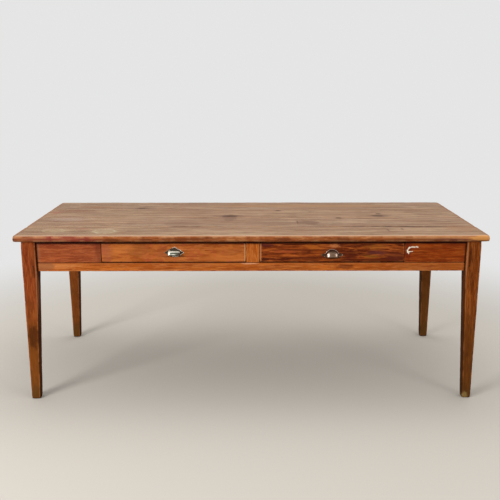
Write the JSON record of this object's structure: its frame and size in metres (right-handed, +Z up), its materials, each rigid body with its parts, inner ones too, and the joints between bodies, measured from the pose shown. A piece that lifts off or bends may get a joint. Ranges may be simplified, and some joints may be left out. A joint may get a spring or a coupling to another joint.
{
  "type": "farmhouse table",
  "caption": "Long plank-topped table on square tapered legs, with drawers in the front apron that slide out by metal cup pulls.",
  "frame": {"origin": "on the floor, under the middle of the table top", "axes": "+X along the table to the right as seen from the drawers, +Y to the back, +Z up; the drawers open towards -Y"},
  "size_m": [2.06, 0.88, 0.76],
  "materials": {
    "top": "scrubbed and waxed old pine, faded grey-brown",
    "leg": "worn red-brown shellac on pine",
    "apron": "worn red-brown shellac on pine",
    "rail": "worn orange-brown shellac on pine",
    "peg": "darkened end grain",
    "batten": "unfinished sawn pine",
    "drawer_front_orange": "worn orange-brown shellac on pine",
    "drawer_front_dark": "dark streaky shellac on pine",
    "drawer_lining": "unfinished planed pine",
    "nickel_bright": "aged nickel plate",
    "nickel_aged": "dull aged nickel plate",
    "screw_steel": "tarnished steel",
    "nail_iron": "dark iron"
  },
  "bodies": {
    "table_frame": {"top_plank_front": "top", "top_plank_inner_front": "top", "top_plank_inner_back": "top", "top_plank_back": "top", "leg_front_left": "leg", "leg_front_right": "leg", "leg_back_left": "leg", "leg_back_right": "leg", "front_panel_left": "apron", "front_panel_right": "apron", "centre_muntin": "apron", "back_apron": "apron", "end_apron_left": "apron", "end_apron_right": "apron", "front_rail": "rail", "pegs_front": "peg", "pegs_back": "peg", "pegs_left": "peg", "pegs_right": "peg", "panel_dowels": "peg", "runner_left": "batten", "runner_centre": "batten", "runner_right": "batten", "guide_left": "batten", "guide_centre": "batten", "guide_right": "batten", "kicker_left": "batten", "kicker_centre": "batten", "kicker_right": "batten", "drawer_stops": "batten", "top_buttons_back": "batten", "top_buttons_left": "batten", "top_buttons_right": "batten", "glue_block_left": "batten", "glue_block_right": "batten", "kicker_screws": "screw_steel", "button_screws": "screw_steel", "guide_nails": "nail_iron", "stop_nails": "nail_iron"},
    "drawer_left": {"drawer_left_front": "drawer_front_orange", "drawer_left_outer_side": "drawer_lining", "drawer_left_inner_side": "drawer_lining", "drawer_left_back": "drawer_lining", "drawer_left_bottom": "drawer_lining", "drawer_left_nails": "nail_iron", "drawer_left_pull": "nickel_bright", "drawer_left_pull_screws": "screw_steel"},
    "drawer_right": {"drawer_right_front": "drawer_front_dark", "drawer_right_outer_side": "drawer_lining", "drawer_right_inner_side": "drawer_lining", "drawer_right_back": "drawer_lining", "drawer_right_bottom": "drawer_lining", "drawer_right_nails": "nail_iron", "drawer_right_pull": "nickel_aged", "drawer_right_pull_screws": "screw_steel"}
  },
  "joints": [
    {"name": "drawer_left_slide", "type": "slide", "parent": "table_frame", "child": "drawer_left", "axis": [0, -1, 0], "range_m": [0, 0.4]},
    {"name": "drawer_right_slide", "type": "slide", "parent": "table_frame", "child": "drawer_right", "axis": [0, -1, 0], "range_m": [0, 0.4]}
  ]
}
